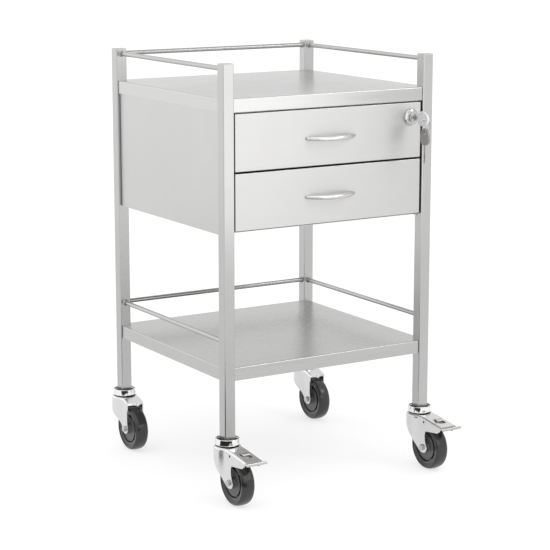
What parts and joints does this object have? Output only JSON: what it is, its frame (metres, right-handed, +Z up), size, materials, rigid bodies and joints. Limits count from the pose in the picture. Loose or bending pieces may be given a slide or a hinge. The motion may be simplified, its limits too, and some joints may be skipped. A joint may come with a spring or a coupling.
{
  "type": "instrument cart",
  "caption": "Square-tube steel cart on swivel casters with a top tray, a lower shelf, guard rails on three sides and a two-tier locking drawer cabinet.",
  "frame": {"origin": "on the floor, under the middle of the cart's box, with the front brake pedals included", "axes": "+Z up, -Y towards the drawers, +X to the right seen from the drawers"},
  "size_m": [0.548, 0.618, 0.907],
  "materials": {
    "brushed_steel": "satin brushed along the length",
    "tray_steel": "fine satin with a soft reflection",
    "panel_steel": "fine satin brushed sheet",
    "slide_steel": "bright zinc plate",
    "satin_handle": "satin plated",
    "chrome": "bright plated",
    "hub_plastic": "moulded, light texture",
    "tyre_rubber": "smooth moulded tread",
    "key_light": "moulded key head",
    "key_grey": "moulded key head"
  },
  "bodies": {
    "frame": {"post_front_left": "brushed_steel", "post_front_right": "brushed_steel", "post_rear_left": "brushed_steel", "post_rear_right": "brushed_steel", "upper_rail_left": "brushed_steel", "upper_rail_right": "brushed_steel", "upper_rail_rear": "brushed_steel", "lower_rail_left": "brushed_steel", "lower_rail_right": "brushed_steel", "lower_rail_rear": "brushed_steel", "top_tray": "tray_steel", "lower_shelf": "tray_steel", "cabinet_shell": "panel_steel", "upper_slide_outer_left": "slide_steel", "upper_slide_outer_right": "slide_steel", "lower_slide_outer_left": "slide_steel", "lower_slide_outer_right": "slide_steel", "caster_cup_front_left": "chrome", "caster_cup_front_right": "chrome", "caster_cup_rear_left": "chrome", "caster_cup_rear_right": "chrome"},
    "upper_drawer": {"upper_drawer_front": "panel_steel", "upper_drawer_box": "slide_steel", "upper_drawer_handle": "satin_handle", "upper_slide_inner_left": "slide_steel", "upper_slide_inner_right": "slide_steel", "lock_barrel": "chrome"},
    "upper_slide_carriage": {"upper_slide_middle_left": "slide_steel", "upper_slide_middle_right": "slide_steel"},
    "lower_drawer": {"lower_drawer_front": "panel_steel", "lower_drawer_box": "slide_steel", "lower_drawer_handle": "satin_handle", "lower_slide_inner_left": "slide_steel", "lower_slide_inner_right": "slide_steel"},
    "lower_slide_carriage": {"lower_slide_middle_left": "slide_steel", "lower_slide_middle_right": "slide_steel"},
    "lock_cylinder": {"lock_plug": "chrome", "lock_cam": "slide_steel", "key": "key_light"},
    "key_ring": {"key_ring": "chrome"},
    "spare_key": {"spare_key": "key_grey"},
    "caster_front_left": {"caster_fork_front_left": "chrome", "caster_axle_front_left": "slide_steel"},
    "wheel_front_left": {"wheel_hub_front_left": "hub_plastic", "wheel_tyre_front_left": "tyre_rubber"},
    "brake_front_left": {"brake_pedal_front_left": "chrome"},
    "caster_front_right": {"caster_fork_front_right": "chrome", "caster_axle_front_right": "slide_steel"},
    "wheel_front_right": {"wheel_hub_front_right": "hub_plastic", "wheel_tyre_front_right": "tyre_rubber"},
    "brake_front_right": {"brake_pedal_front_right": "chrome"},
    "caster_rear_left": {"caster_fork_rear_left": "chrome", "caster_axle_rear_left": "slide_steel"},
    "wheel_rear_left": {"wheel_hub_rear_left": "hub_plastic", "wheel_tyre_rear_left": "tyre_rubber"},
    "caster_rear_right": {"caster_fork_rear_right": "chrome", "caster_axle_rear_right": "slide_steel"},
    "wheel_rear_right": {"wheel_hub_rear_right": "hub_plastic", "wheel_tyre_rear_right": "tyre_rubber"}
  },
  "joints": [
    {"name": "upper_drawer_slide", "type": "slide", "parent": "frame", "child": "upper_drawer", "axis": [0, -1, 0], "range_m": [0, 0.36]},
    {"name": "upper_carriage_slide", "type": "slide", "parent": "frame", "child": "upper_slide_carriage", "axis": [0, -1, 0], "range_m": [0, 0.18]},
    {"name": "lower_drawer_slide", "type": "slide", "parent": "frame", "child": "lower_drawer", "axis": [0, -1, 0], "range_m": [0, 0.36]},
    {"name": "lower_carriage_slide", "type": "slide", "parent": "frame", "child": "lower_slide_carriage", "axis": [0, -1, 0], "range_m": [0, 0.18]},
    {"name": "lock_turn", "type": "hinge", "parent": "upper_drawer", "child": "lock_cylinder", "pos_m": [0.203, -0.1995, 0.775], "axis": [0, 1, 0], "range_deg": [0, 90]},
    {"name": "key_ring_swing", "type": "hinge", "parent": "lock_cylinder", "child": "key_ring", "pos_m": [0.203, -0.252, 0.7724], "axis": [1, 0, 0], "range_deg": [-45, 15]},
    {"name": "spare_key_swing", "type": "hinge", "parent": "key_ring", "child": "spare_key", "pos_m": [0.203, -0.252, 0.7474], "axis": [1, 0, 0], "range_deg": [-20, 20]},
    {"name": "caster_swivel_front_left", "type": "hinge", "parent": "frame", "child": "caster_front_left", "pos_m": [-0.245, -0.19, 0.119], "axis": [0, 0, 1], "continuous": true},
    {"name": "wheel_roll_front_left", "type": "hinge", "parent": "caster_front_left", "child": "wheel_front_left", "pos_m": [-0.245, -0.23, 0.05], "axis": [1, 0, 0], "continuous": true},
    {"name": "brake_press_front_left", "type": "hinge", "parent": "caster_front_left", "child": "brake_front_left", "pos_m": [-0.245, -0.235, 0.108], "axis": [1, 0, 0], "range_deg": [0, 12]},
    {"name": "caster_swivel_front_right", "type": "hinge", "parent": "frame", "child": "caster_front_right", "pos_m": [0.245, -0.19, 0.119], "axis": [0, 0, 1], "continuous": true},
    {"name": "wheel_roll_front_right", "type": "hinge", "parent": "caster_front_right", "child": "wheel_front_right", "pos_m": [0.245, -0.23, 0.05], "axis": [1, 0, 0], "continuous": true},
    {"name": "brake_press_front_right", "type": "hinge", "parent": "caster_front_right", "child": "brake_front_right", "pos_m": [0.245, -0.235, 0.108], "axis": [1, 0, 0], "range_deg": [0, 12]},
    {"name": "caster_swivel_rear_left", "type": "hinge", "parent": "frame", "child": "caster_rear_left", "pos_m": [-0.245, 0.28, 0.119], "axis": [0, 0, 1], "continuous": true},
    {"name": "wheel_roll_rear_left", "type": "hinge", "parent": "caster_rear_left", "child": "wheel_rear_left", "pos_m": [-0.245, 0.24, 0.05], "axis": [1, 0, 0], "continuous": true},
    {"name": "caster_swivel_rear_right", "type": "hinge", "parent": "frame", "child": "caster_rear_right", "pos_m": [0.245, 0.28, 0.119], "axis": [0, 0, 1], "continuous": true},
    {"name": "wheel_roll_rear_right", "type": "hinge", "parent": "caster_rear_right", "child": "wheel_rear_right", "pos_m": [0.245, 0.24, 0.05], "axis": [1, 0, 0], "continuous": true}
  ],
  "couplings": [
    {"joint": "upper_carriage_slide", "follows": "upper_drawer_slide", "ratio": 0.5},
    {"joint": "lower_carriage_slide", "follows": "lower_drawer_slide", "ratio": 0.5}
  ]
}
